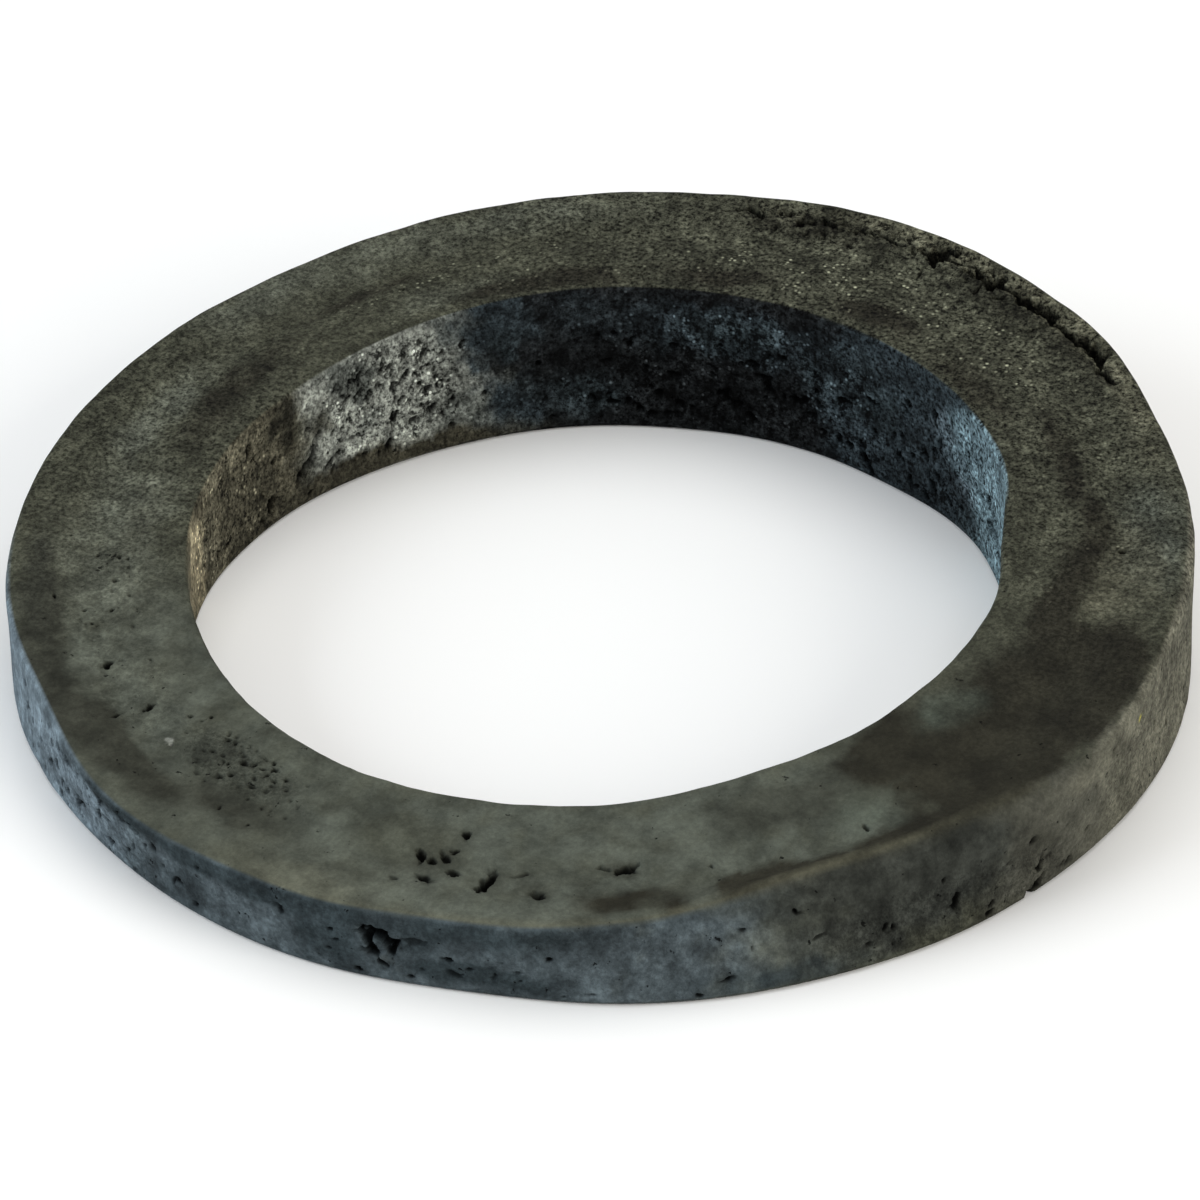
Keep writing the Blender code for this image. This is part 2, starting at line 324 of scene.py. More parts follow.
# Fields of small pits: (face, azimuth, reach, low place, high place, count, least width, most width, longest
# stretch, turn), lengths in mm
PIT_FIELDS = (
    ("bore", 154, 17, 1.6, 10.5, 130, 0.20, 0.50, 2.4, -40),
    ("bore", 100, 34, 0.8, 8.5, 110, 0.20, 0.60, 2.6, 10),
    ("bore", 60, 20, 0.6, 9.0, 50, 0.20, 0.50, 2.6, 60),
    ("bore", 182, 14, 1.0, 9.0, 20, 0.20, 0.45, 2.4, -50),
    ("bore", 290, 80, 0.6, 6.0, 40, 0.20, 0.55, 2.2, 20),
    ("outer", 242, 22, 0.4, 5.5, 60, 0.24, 0.60, 2.0, 60),
    ("outer", 288, 22, 0.3, 3.6, 22, 0.18, 0.42, 2.2, 10),
    ("outer", 335, 24, 0.4, 5.5, 14, 0.18, 0.42, 2.2, 60),
    ("outer", 5, 22, 0.6, 8.0, 22, 0.18, 0.40, 2.0, 70),
    ("outer", 120, 90, 0.5, 9.0, 56, 0.20, 0.55, 2.2, 70),
    ("top", 254, 13, 31.4, 35.6, 70, 0.16, 0.36, 2.0, 20),
    ("top", 78, 26, 39.2, 40.4, 60, 0.14, 0.26, 5.0, -14),
    ("top", 97, 12, 37.4, 40.5, 60, 0.16, 0.32, 4.0, 74),
    ("top", 216, 22, 31.5, 38.0, 36, 0.15, 0.28, 1.6, 0),
    ("top", 110, 90, 30.5, 40.0, 18, 0.14, 0.24, 1.6, 0),
    ("under", 0, 180, 30.0, 40.2, 64, 0.30, 0.70, 1.8, 0),
)

# How the small pits vary: the share of its field's reach that each may take, its depth by its width, and how
# far its turn strays from the field's
FIELD_SHARE = (0.4, 1)
DEPTH_BY_WIDTH = (0.6, 1.1)
TURN_SPREAD = 22

# The smaller pits that overlap a larger one: their number, the least length of the larger one, their shift
# along and across it and their size and depth as shares of its own, their stretch, and how far their turn
# strays
COMPANIONS = 2
LEAST_WITH_COMPANIONS_MM = 0.6
COMPANION_ALONG = (0.20, 0.42)
COMPANION_ACROSS = 0.45
COMPANION_SHARE = (0.40, 0.58)
COMPANION_STRETCH = 1.4
COMPANION_TURN_SPREAD = 40

# The form of every pit: a lower power gives a steeper edge, and noise of the ragged sizes breaks the edge up.
# A pit moves the points within this share of its greater size.
PIT_POWER = 0.7
PIT_RAGGEDNESS = 0.60
RAGGED_SIZES = (0.0006, 0.0003)
PIT_SEARCH = 0.8

# How deep pits may go in all where they overlap, and how far under the upper face a wall's pit has to stay
DEEPEST_PIT = 0.0015
WALL_PIT_CLEARANCE = 0.0009
TINY = 1e-9

# Painted shade in the pits: a pit of DARK_PIT_MM or deeper is as dark as any, and a faint halo of painted
# shade lies round it
PIT_SHADE = 0.92
PIT_SHADE_GAIN = 1.5
PIT_SHADE_POWER = 0.4
PIT_HALO = 0.15
HALO_REACH = 2
DARK_PIT_MM = 0.4
LEAST_PIT_DARKNESS = 0.35

# Specks of another colour stuck to the rubber: (face, azimuth, place, radius in mm, colour name)
SPECKS = (
    ("outer", 0.3, 7.7, 0.32, "yellow_speck"),
    ("top", 243.7, 35.10, 0.22, "white_speck"),
    ("top", 244.1, 35.00, 0.28, "white_speck"),
    ("top", 244.6, 35.15, 0.18, "white_speck"),
)

# A speck's colour spreads this far past its radius, and is raised by this so that its middle is full
SPECK_SPREAD = 1.3
SPECK_GAIN = 1.5

# Colours of the rubber, its stains, the light and shade painted on it, and what sticks to it, as 8-bit sRGB
COLOURS = {
    "olive": (69, 70, 59),
    "grey": (80, 84, 76),
    "green": (78, 84, 75),
    "dark": (43, 42, 35),
    "brown": (53, 54, 47),
    "light": (97, 100, 89),
    "tan": (96, 95, 80),
    # The next colour is painted cool light, on the left of the outer wall and in the bore
    "cool": (109, 122, 130),
    # The next colour is partly the rubber's grey and partly painted cool light
    "steel_grey_and_cool_light": (77, 86, 90),
    "slate": (47, 55, 58),
    "shade": (52, 54, 50),
    "middle": (76, 76, 68),
    # The next colour is painted warm light, on the right of the outer wall and its rim
    "warm": (103, 102, 90),
    "umber": (63, 61, 51),
    "earth": (91, 88, 74),
    # The next colour is painted light, a pool of light on the bore wall
    "pale": (152, 156, 148),
    "ash": (98, 102, 97),
    # The next colour is painted shade, where the bore faces away from the lamps
    "painted_shade_black": (24, 26, 27),
    # The next colour is the rubber's dark tone with painted shade and a cool painted tint, in the bore
    "deep": (48, 56, 60),
    # The next colour is painted cool light, where the bore faces the cool lamp
    "painted_cool_light_blue": (118, 140, 148),
    "sand": (146, 138, 114),
    "yellow_speck": (170, 164, 92),
    "white_speck": (138, 140, 132),
}

# Stains, and the light and shade painted on the rubber: (face, azimuth, reach, place, reach across, colour,
# strength). Places are as for the pits, on the rim the distance in from it, and on outer_rim the depth under
# the top. A strength over 1 gives a crisper border.
STAINS_AND_PAINTED_LIGHT = (
    ("top", 300, 75, 35, 14, "grey", 0.9),
    ("top", 240, 40, 34, 14, "grey", 0.7),
    ("top", 206, 20, 34.6, 5.0, "light", 0.60),
    ("top", 228, 20, 33.0, 5.0, "light", 0.30),
    ("top", 275, 20, 38.2, 4.5, "light", 0.18),
    ("top", 270, 12, 40.0, 2.6, "tan", 0.3),
    ("top", 296, 9, 40.2, 1.8, "light", 0.2),
    ("top", 332, 9, 34.5, 4.0, "green", 0.6),
    ("top", 24, 13, 38.4, 4.2, "grey", 0.7),
    ("top", 19, 12, 36.8, 4.0, "tan", 0.5),
    ("top", 140, 34, 39.0, 3.4, "light", 0.45),
    ("top", 182, 14, 36.2, 2.8, "light", 0.8),
    ("top", 142, 12, 31.6, 2.0, "light", 0.35),
    ("top", 160, 12, 39.4, 2.6, "light", 0.55),
    ("top", 225, 33, 39.3, 2.1, "brown", 1.3),
    ("top", 243, 17, 38.9, 2.9, "brown", 1.5),
    ("top", 258, 12, 36.4, 2.6, "brown", 0.8),
    ("top", 203, 8, 33.2, 1.8, "dark", 0.3),
    ("top", 254, 16, 33.8, 3.4, "brown", 0.45),
    ("top", 278, 10, 33.8, 3.5, "olive", 0.5),
    ("top", 304, 8, 38.9, 2.2, "dark", 1.1),
    ("top", 318, 9, 38.9, 2.2, "dark", 1.7),
    ("top", 330, 13, 39.4, 2.4, "dark", 2.0),
    ("top", 322, 13, 32.0, 4.0, "dark", 0.45),
    ("top", 346, 17, 37.8, 5.2, "dark", 2.0),
    ("top", 352, 18, 34.5, 6.4, "dark", 1.6),
    ("top", 340, 14, 31.8, 4.6, "dark", 1.7),
    ("top", 348, 6, 31.2, 2.4, "green", 0.6),
    ("top", 1, 12, 38.8, 4.2, "dark", 1.6),
    ("top", 1, 13, 35.6, 4.2, "dark", 1.8),
    ("top", 282.3, 3.5, 35.6, 2.0, "dark", 0.3),
    ("top", 289, 2.5, 36.3, 1.8, "dark", 0.35),
    ("top", 293.5, 3, 37.0, 1.4, "dark", 0.35),
    ("top", 302, 3, 35.2, 1.4, "dark", 0.4),
    ("top", 12, 18, 33.5, 2.4, "dark", 1.2),
    ("top", 41, 14, 33.4, 1.3, "dark", 1.0),
    ("top", 26, 10, 34.3, 1.3, "dark", 1.0),
    ("top", 59, 13, 30.8, 2.0, "dark", 0.8),
    ("top", 80, 11, 31.0, 2.0, "dark", 1.2),
    ("top", 103, 11, 31.0, 1.8, "dark", 1.1),
    ("top", 128, 17, 30.6, 1.7, "dark", 1.1),
    ("top", 150, 14, 34.9, 1.0, "dark", 0.8),
    ("top", 172, 14, 33.2, 2.2, "dark", 0.9),
    ("top", 181, 10, 31.8, 2.0, "dark", 0.5),
    ("top", 66, 20, 38.4, 1.8, "dark", 0.35),
    ("top", 96, 14, 38.4, 1.9, "dark", 0.6),
    ("rim", 68, 44, 1.2, 2.0, "tan", 0.7),
    ("rim", 306, 54, 0.40, 0.36, "tan", 0.4),
    ("rim", 330, 26, 0.9, 0.5, "tan", 0.45),
    # Painted warm light on the rim
    ("rim", 357, 14, -0.2, 0.9, "warm", 3.0),
    ("rim", 345, 9, 0.2, 1.0, "middle", 2.4),
    # The next is partly the rubber's grey and partly painted cool light, on the front and left of the outer
    # wall
    ("outer", 264, 68, 4.0, 18.0, "steel_grey_and_cool_light", 2.2),
    # Painted cool light on the left of the outer wall
    ("outer", 228, 27, 3.0, 14.0, "cool", 1.8),
    ("outer_rim", 268, 52, 0.7, 1.3, "slate", 1.1),
    ("outer", 274, 7, 2.8, 5.0, "slate", 1.0),
    ("outer", 255, 10, 1.5, 3.0, "slate", 0.5),
    ("outer", 289, 13, 4.2, 3.6, "slate", 0.45),
    ("outer", 288, 14, 1.3, 1.3, "slate", 1.4),
    ("outer", 281.8, 3.5, 3.4, 2.2, "slate", 0.8),
    ("outer", 316, 14, 1.0, 1.2, "slate", 0.7),
    ("outer", 347, 14, 3.0, 16.0, "middle", 1.2),
    ("outer", 330, 16, 5.5, 6.5, "shade", 1.6),
    # Painted warm light on the right of the outer wall
    ("outer", 15, 27, 5.0, 20.0, "warm", 2.4),
    ("outer", 352, 7, 7.2, 1.8, "warm", 0.8),
    ("outer", 64, 36, 5.0, 10.0, "grey", 0.8),
    ("outer", 130, 50, 6.0, 12.0, "slate", 0.8),
    ("outer", 190, 30, 3.0, 8.0, "umber", 0.7),
    ("bore", 285, 75, 4.0, 14.0, "slate", 1.4),
    ("bore", 330, 30, 3.0, 8.0, "umber", 0.9),
    ("bore", 10, 30, 5.0, 14.0, "grey", 0.8),
    # Painted shade over the dark part of the bore
    ("bore", 110, 66, 6.0, 26.0, "painted_shade_black", 2.4),
    ("bore", 190, 28, 6.0, 22.0, "earth", 2.2),
    # The rubber's dark tone with painted shade and a cool painted tint
    ("bore", 68, 22, 6.0, 24.0, "deep", 2.4),
    # Painted light: a pale pool of light on the bore wall
    ("bore", 154, 19, 6.5, 15.0, "pale", 2.2),
    # The next three are the rubber's dark tone with painted shade and a cool painted tint
    ("bore", 136, 8, 10.0, 4.2, "deep", 2.0),
    ("bore", 141, 4, 9.4, 2.0, "deep", 1.0),
    ("bore", 139, 3, 6.4, 1.3, "deep", 0.9),
    ("bore", 134, 3, 4.8, 1.4, "ash", 0.3),
    ("bore", 131, 4, 3.6, 1.6, "slate", 0.4),
    ("bore", 133, 3, 7.4, 1.8, "slate", 0.9),
    # The rubber's dark tone with painted shade and a cool painted tint
    ("bore", 138, 8, 2.6, 2.8, "deep", 1.8),
    ("bore", 143, 5, 9.0, 4.0, "ash", 0.6),
    ("bore", 143, 6, 3.4, 2.8, "ash", 1.0),
    ("bore", 161, 5, 9.0, 3.0, "ash", 1.3),
    ("bore", 156, 5, 4.6, 1.6, "ash", 0.6),
    ("bore", 160, 36, 0.2, 2.5, "umber", 2.0),
    ("bore", 173, 6, 8.0, 4.5, "dark", 0.9),
    ("bore", 178, 5, 4.0, 3.0, "dark", 0.5),
    # The rubber's dark tone with painted shade and a cool painted tint
    ("bore", 101, 18, 8.4, 3.0, "deep", 1.5),
    ("bore", 99, 13, 8.4, 2.4, "slate", 1.0),
    # The next two are the rubber's dark tone with painted shade and a cool painted tint
    ("bore", 80, 12, 9.4, 3.4, "deep", 1.2),
    ("bore", 118, 14, 9.6, 3.0, "deep", 0.35),
    ("bore", 124, 10, 3.2, 2.6, "slate", 0.7),
    # Painted shade in the bore
    ("bore", 96, 16, 2.4, 3.4, "painted_shade_black", 1.3),
    ("bore", 80, 11, 7.4, 4.6, "slate", 1.0),
    # The rubber's dark tone with painted shade and a cool painted tint
    ("bore", 78, 9, 2.6, 3.4, "deep", 0.9),
    # Painted cool light, where the bore faces the cool lamp
    ("bore", 60, 5, 7.8, 2.8, "cool", 0.5),
    ("bore", 55, 4, 5.0, 2.8, "cool", 0.5),
    ("bore", 54, 9, 8.4, 4.4, "painted_cool_light_blue", 1.5),
    ("bore", 44, 13, 5.0, 14.0, "painted_cool_light_blue", 2.4),
    ("bore", 55, 6, 1.2, 4.0, "slate", 0.5),
    ("bore", 203, 9, 4.4, 5.4, "sand", 1.6),
)

# How the stains' borders wander: (size of the noise, shift in mm). The shift also turns them, by some
# degrees for each mm, and a stain that is narrow across wanders less.
STAIN_WANDER = (
    (0.0050, 1.40),
    (0.0018, 0.84),
    (0.0007, 0.50),
)
STAIN_TURN = 1.5
STAIN_TURN_IN_BORE = 3.2
NARROW_STAIN_MM = 3

# How patchy the stains are: (size, share, offset of the noise)
STAIN_PATCHES = (
    (0.0030, 0.5, 7.0),
    (0.0012, 0.5, 3.0),
)

# Zones and stains are level in their middle, since their product of humps is raised by this and cut at 1
ZONE_GAIN = 1.6

# How sharply a face's zones end where the surface turns to the next face, and what counts as facing down
FACE_BORDER = 2.5
FACING_DOWN = -0.3

# Textures of the rubber, as cells in a metre
MOTTLE_SCALE = 330
DRIFT_SCALE = 420
BLOTCH_SCALE = 430
CRUMB_SCALE = 900
PORE_SCALE = 1250
GRAIN_SCALE = 3000
FLECK_SCALE = 3000

# How strongly the textures change the colour
MOTTLE_LEVELS = (0.66, 1.34)
GRAIN_CONTRAST = 0.85
CRUMB_CONTRAST_WORN = 0.55
CRUMB_CONTRAST_GRITTY = 0.36
BLOTCH_CONTRAST = 0.6
# The fine pores are darkened to this level as painted shade
PORE_SHADE_LEVEL = 0.15
FLECK_LEVEL = 6.5
LEAST_LEVEL = 0.05

# The bump of the grain and the finest pores, and the dull surface
BUMP_STRENGTH = 0.7
BUMP_HEIGHT = 0.00012
PORE_BUMP = -1.6
MOTTLE_BUMP = 0.8
ROUGHNESS = (0.84, 0.98)
SPECULAR = 0.06

# The floor lies just under the ring
FLOOR_SIDE = 6.0
FLOOR_GAP = 0.00005
FLOOR_COLOUR = (0.80, 0.80, 0.80, 1.0)
WHITE = (1.0, 1.0, 1.0, 1.0)
SKY_STRENGTH = 0.45

# Softboxes: (name, azimuth, elevation, distance, side, share of plain light, colour)
SOFTBOXES = (
    ("cool_window", 222, 24, 0.9, 0.7, 0.62, (0.86, 0.94, 1.0)),
    ("warm_window", 352, 24, 0.9, 0.6, 0.55, (1.0, 0.97, 0.90)),
    ("overhead", 100, 72, 1.0, 0.9, 0.34, (1.0, 1.0, 0.98)),
)

AZIMUTHS = np.arange(STEPS_ROUND) * 360.0 / STEPS_ROUND


def linear(colour):
    """An 8-bit sRGB colour as linear light."""
    share = np.array(colour, float) / 255
    return np.where(share <= 0.04045, share / 12.92, ((share + 0.055) / 1.055) ** 2.4)


def hump(offset, reach):
    """1 at no offset, falling smoothly to 0 at the reach and beyond."""
    return 0.5 + 0.5 * np.cos(np.pi * np.clip(np.abs(offset) / reach, 0, 1))


def turned(azimuth, centre):
    """The signed angle from centre to azimuth, in degrees."""
    return (np.asarray(azimuth) - centre + 180) % 360 - 180


def direction(azimuth, elevation):
    """The unit vector that points this way from the origin."""
    around, up = math.radians(azimuth), math.radians(elevation)
    return Vector((math.cos(around) * math.cos(up), math.sin(around) * math.cos(up), math.sin(up)))


def smooth_round(values):
    """Values at even steps round the ring, as a smooth curve at every fine step that passes over any pit."""
    values = np.array(values)
    near = np.stack([np.roll(values, shift) for shift in range(-MEDIAN_REACH, MEDIAN_REACH + 1)])
    waves = np.fft.rfft(np.median(near, axis=0))
    waves[SMOOTH_WAVES:] = 0
    return np.fft.irfft(waves, STEPS_ROUND) * STEPS_ROUND / len(values)


class Solid:
    """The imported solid, measured with rays: its walls' radii and its sloping face."""

    SAMPLES = 120
    NUDGE = 0.01
    FAR = 0.1
    LOW = 0.0011
    BELOW_TOP = 0.0016
    OUTER_EDGE = 0.0405
    BORE_EDGE = 0.0290
    LAND = (0.0300, 0.0322)
    FACE_RADII = np.arange(0.0304, 0.0396, 0.0004)

    def __init__(self, mesh):
        corners = [v.co.copy() for v in mesh.vertices]
        self.tree = BVHTree.FromPolygons(corners, [tuple(p.vertices) for p in mesh.polygons])
        self.around = [math.radians(360 * (i + self.NUDGE) / self.SAMPLES) for i in range(self.SAMPLES)]
        self.plane = self.fit_plane()
        self.dip = self.band_dip()
        self.outer = [self.wall(self.LOW, outside=True), self.wall(None, outside=True)]
        self.bore = [self.wall(self.LOW, outside=False), self.wall(None, outside=False)]

    def height(self, angle, radius):
        """The height of the upper face, straight down from above."""
        start = Vector((radius * math.cos(angle), radius * math.sin(angle), self.FAR))
        return self.tree.ray_cast(start, Vector((0, 0, -1)))[0].z

    def fit_plane(self):
        """The plane through the flat land between the bore and the worn band."""
        rows = [(1, r * math.cos(a), r * math.sin(a)) for a in self.around for r in self.LAND]
        heights = [self.height(a, r) for a in self.around for r in self.LAND]
        return np.linalg.lstsq(np.array(rows), np.array(heights), rcond=None)[0]

    def band_dip(self):
        """How far the upper face lies under its plane, by radius."""
        dips = []
        for radius in self.FACE_RADII:
            flat = [self.plane @ (1, radius * math.cos(a), radius * math.sin(a)) for a in self.around]
            dips.append(np.mean(flat) - np.mean([self.height(a, radius) for a in self.around]))
        return np.array(dips)

    def wall(self, level, outside):
        """(heights, radii) of a wall at each fine azimuth, at a level or else just under the upper face."""
        heights, radii = [], []
        for angle in self.around:
            out = Vector((math.cos(angle), math.sin(angle), 0))
            edge = self.OUTER_EDGE if outside else self.BORE_EDGE
            z = level or self.plane @ (1, edge * out.x, edge * out.y) - self.BELOW_TOP
            start = out * self.FAR if outside else Vector((0, 0, 0))
            hit = self.tree.ray_cast(start + Vector((0, 0, z)), -out if outside else out)[0]
            heights.append(z)
            radii.append(math.hypot(hit.x, hit.y))
        return smooth_round(heights), smooth_round(radii)

    def flat_height(self, azimuth, radius):
        """The height of the upper face's plane."""
        angle = np.radians(azimuth)
        return self.plane[0] + radius * (self.plane[1] * np.cos(angle) + self.plane[2] * np.sin(angle))

    def face_height(self, azimuth, radius):
        """The height of the upper face with its worn band."""
        return self.flat_height(azimuth, radius) - np.interp(radius, self.FACE_RADII, self.dip)

    def wall_radius(self, azimuth, height, outside):
        """The straight line through a wall's two measured rings."""
        (low_z, low_r), (high_z, high_r) = self.outer if outside else self.bore
        slope = (high_r - low_r) / (high_z - low_z)
        base = np.interp(azimuth, AZIMUTHS, low_r, period=360)
        low = np.interp(azimuth, AZIMUTHS, low_z, period=360)
        return base + np.interp(azimuth, AZIMUTHS, slope, period=360) * (height - low)


def quarter(centre_r, centre_z, size, start, points):
    """The columns of a quarter round, turning anticlockwise from start degrees."""
    for i in range(points):
        angle = math.radians(start + 90 * i / (points - 1))
        yield centre_r + size * math.cos(angle), centre_z + size * math.sin(angle)


def between(points):
    """Even shares of a stretch, without its ends."""
    return np.linspace(0, 1, points + 2)[1:-1]


def section_columns(solid):
    """(radius, height) round the ring for each point of its section, anticlockwise from the rim's foot."""
    extras = (extra * hump(turned(AZIMUTHS, centre), reach) for centre, reach, extra in WORN_RIM)
    rim_round = RIM_ROUND + sum(extras)
    rim_z = solid.flat_height(AZIMUTHS, solid.wall_radius(AZIMUTHS, solid.outer[1][0], True))
    rim = solid.wall_radius(AZIMUTHS, rim_z, True)
    rim_z = solid.flat_height(AZIMUTHS, rim - rim_round)
    bore_z = solid.flat_height(AZIMUTHS, solid.wall_radius(AZIMUTHS, solid.bore[1][0], False))
    bore = solid.wall_radius(AZIMUTHS, bore_z, False)
    bore_z = solid.flat_height(AZIMUTHS, bore + BORE_ROUND)
    foot = solid.wall_radius(AZIMUTHS, FOOT_ROUND, True)
    bore_foot = solid.wall_radius(AZIMUTHS, FOOT_ROUND, False)

    columns = list(quarter(foot - FOOT_ROUND, FOOT_ROUND, FOOT_ROUND, -90, FOOT_POINTS))
    for share in between(WALL_POINTS):
        z = FOOT_ROUND + (rim_z - rim_round - FOOT_ROUND) * share
        columns.append((solid.wall_radius(AZIMUTHS, z, True), z))
    columns += quarter(rim - rim_round, rim_z - rim_round, rim_round, 0, CORNER_POINTS)
    for share in between(FACE_POINTS):
        r = rim - rim_round + (bore + BORE_ROUND - rim + rim_round) * share
        columns.append((r, solid.face_height(AZIMUTHS, r)))
    columns += quarter(bore + BORE_ROUND, bore_z - BORE_ROUND, BORE_ROUND, 90, CORNER_POINTS)
    for share in between(WALL_POINTS):
        z = bore_z - BORE_ROUND + (FOOT_ROUND - bore_z + BORE_ROUND) * share
        columns.append((solid.wall_radius(AZIMUTHS, z, False), z))
    columns += quarter(bore_foot + FOOT_ROUND, FOOT_ROUND, FOOT_ROUND, 180, FOOT_POINTS)
    for share in between(UNDER_POINTS):
        r = bore_foot + FOOT_ROUND + (foot - bore_foot - 2 * FOOT_ROUND) * share
        columns.append((r, 0 * r))
    return columns


def ring_mesh(columns):
    """The plain ring as a mesh of quads."""
    angle = np.radians(AZIMUTHS)
    points = np.stack([[r * np.cos(angle), r * np.sin(angle), z + 0 * angle] for r, z in columns])
    count = len(columns)
    here = np.arange(count * STEPS_ROUND).reshape(count, STEPS_ROUND)
    up = np.roll(here, -1, axis=0)
    quads = np.stack([here, np.roll(here, -1, axis=1), np.roll(up, -1, axis=1), up], axis=-1)
    mesh = bpy.data.meshes.new("gasket_surface")
    mesh.from_pydata(points.transpose(0, 2, 1).reshape(-1, 3).tolist(), [], quads.reshape(-1, 4).tolist())
    return mesh


def pit_frame(solid, face, azimuth, place_mm, turn):
    """The middle of a pit, the way into the rubber, and the ways along and across the pit."""
    angle = math.radians(azimuth)
    out = np.array([math.cos(angle), math.sin(angle), 0.0])
    round_way = np.array([-math.sin(angle), math.cos(angle), 0.0])
    up = np.array([0.0, 0.0, 1.0])
    place = place_mm * MM
    if face == "top":
        middle, inwards, side = out * place + up * solid.face_height(azimuth, place), -up, out
    elif face == "under":
        middle, inwards, side = out * place, up, out
    else:
        radius = solid.wall_radius(azimuth, place, face == "outer")
        middle, inwards, side = out * radius + up * place, -out if face == "outer" else out, up
    lean = math.radians(turn)
    along = round_way * math.cos(lean) + side * math.sin(lean)
    return middle, inwards, along, np.cross(inwards, along)


def with_companions(pits, random):
    """The pits, and smaller ones that overlap each larger one of the upper face to make its outline uneven.

    The list grows while it is gone through, so a companion that is large enough gets its own companions.
    """
    pits = list(pits)
    for face, azimuth, place, length, width, depth, turn in pits:
        if face != "top" or length < LEAST_WITH_COMPANIONS_MM:
            continue
        for _ in range(COMPANIONS):
            along = random.choice((-1, 1)) * random.uniform(*COMPANION_ALONG) * length
            across = random.uniform(-COMPANION_ACROSS, COMPANION_ACROSS) * width
            lean = math.radians(turn)
            aside = along * math.cos(lean) - across * math.sin(lean)
            outwards = along * math.sin(lean) + across * math.cos(lean)
            share = random.uniform(*COMPANION_SHARE)
            size = share * length ** 0.5 * width ** 0.5
            moved_azimuth = azimuth + math.degrees(aside / place)
            moved_turn = turn + random.normal(0, COMPANION_TURN_SPREAD)
            longer = COMPANION_STRETCH * size
            pits.append((face, moved_azimuth, place + outwards, longer, size, share * depth, moved_turn))
    return pits


def scattered_pits(random):
    """The small pits of each field, placed at random."""
    for face, centre, reach, low, high, count, least, most, stretch, turn in PIT_FIELDS:
        for _ in range(count):
            azimuth = centre + reach * random.uniform(-1, 1) * random.uniform(*FIELD_SHARE)
            width = least + (most - least) * random.uniform() ** 2
            length = width * random.uniform(1, stretch)
            depth = width * random.uniform(*DEPTH_BY_WIDTH)
            lean = turn + random.normal(0, TURN_SPREAD)
            yield face, azimuth % 360, random.uniform(low, high), length, width, depth, lean


def fits_wall(solid, pit):
    """Whether a pit, if it is in a wall, lies well under the upper face."""
    face, azimuth, place_mm = pit[:3]
    if face not in ("outer", "bore"):
        return True
    place = place_mm * MM
    radius = solid.wall_radius(azimuth, place, face == "outer")
    return place < solid.flat_height(azimuth, radius) - WALL_PIT_CLEARANCE


def zone_places(solid, points):
    """For each point its azimuth, and its place on each face in mm.

    The place is a radius on the top and the underside, a height on the walls, the distance in from the rim
    on the rim, and the depth under the top on outer_rim.
    """
    radius = np.hypot(points[:, 0], points[:, 1])
    azimuth = np.degrees(np.arctan2(points[:, 1], points[:, 0]))
    rim = solid.wall_radius(azimuth, solid.flat_height(azimuth, RIM_RADIUS), True)
    height = points[:, 2]
    below = solid.flat_height(azimuth, radius) - height
    places = {
        "top": radius,
        "rim": rim - radius,
        "under": radius,
        "outer": height,
        "outer_rim": below,
        "bore": height,
    }
    return azimuth, {face: place / MM for face, place in places.items()}


def face_weights(points, normals):
    """How far each point belongs to each face, by the way it faces."""
    out = points[:, :2] / np.linalg.norm(points[:, :2], axis=1, keepdims=True)
    outwards = np.einsum("ij,ij->i", normals[:, :2], out)
    upwards = normals[:, 2]
    flat = np.clip(0.5 + FACE_BORDER * (np.abs(upwards) - np.abs(outwards)), 0, 1)
    weights = {
        "top": flat * (upwards > 0),
        "under": flat * (upwards < 0),
        "outer": (1 - flat) * (outwards > 0),
        "bore": (1 - flat) * (outwards < 0),
    }
    weights["rim"] = weights["top"]
    weights["outer_rim"] = weights["outer"]
    return weights


def inside_zone(azimuth, place, centre, reach, middle, across):
    """1 well inside a zone, falling to 0 at its edge."""
    share = hump(turned(azimuth, centre), reach) * hump(place - middle, across)
    return np.clip(ZONE_GAIN * share, 0, 1)


def zone_strength(solid, points, normals, zones):
    """The strongest of the zones that each point lies in."""
    azimuth, places = zone_places(solid, points)
    weights = face_weights(points, normals)
    most = np.zeros(len(points))
    for face, centre, reach, middle, across, strength in zones:
        inside = inside_zone(azimuth, places[face], centre, reach, middle, across)
        most = np.maximum(most, strength * inside * weights[face])
    return most


def in_pit(points, frame, pit, margin):
    """How far points lie from a pit's middle, as a share of its half length and width with a margin."""
    middle, _, along, across = frame
    length, width = pit[3:5]
    offset = (points - middle) / MM
    return np.hypot(offset @ along / (length / 2 + margin), offset @ across / (width / 2 + margin))


def point_tree(points):
    """A tree that finds the points near a place."""
    tree = KDTree(len(points))
    for i, point in enumerate(points):
        tree.insert(point, i)
    tree.balance()
    return tree


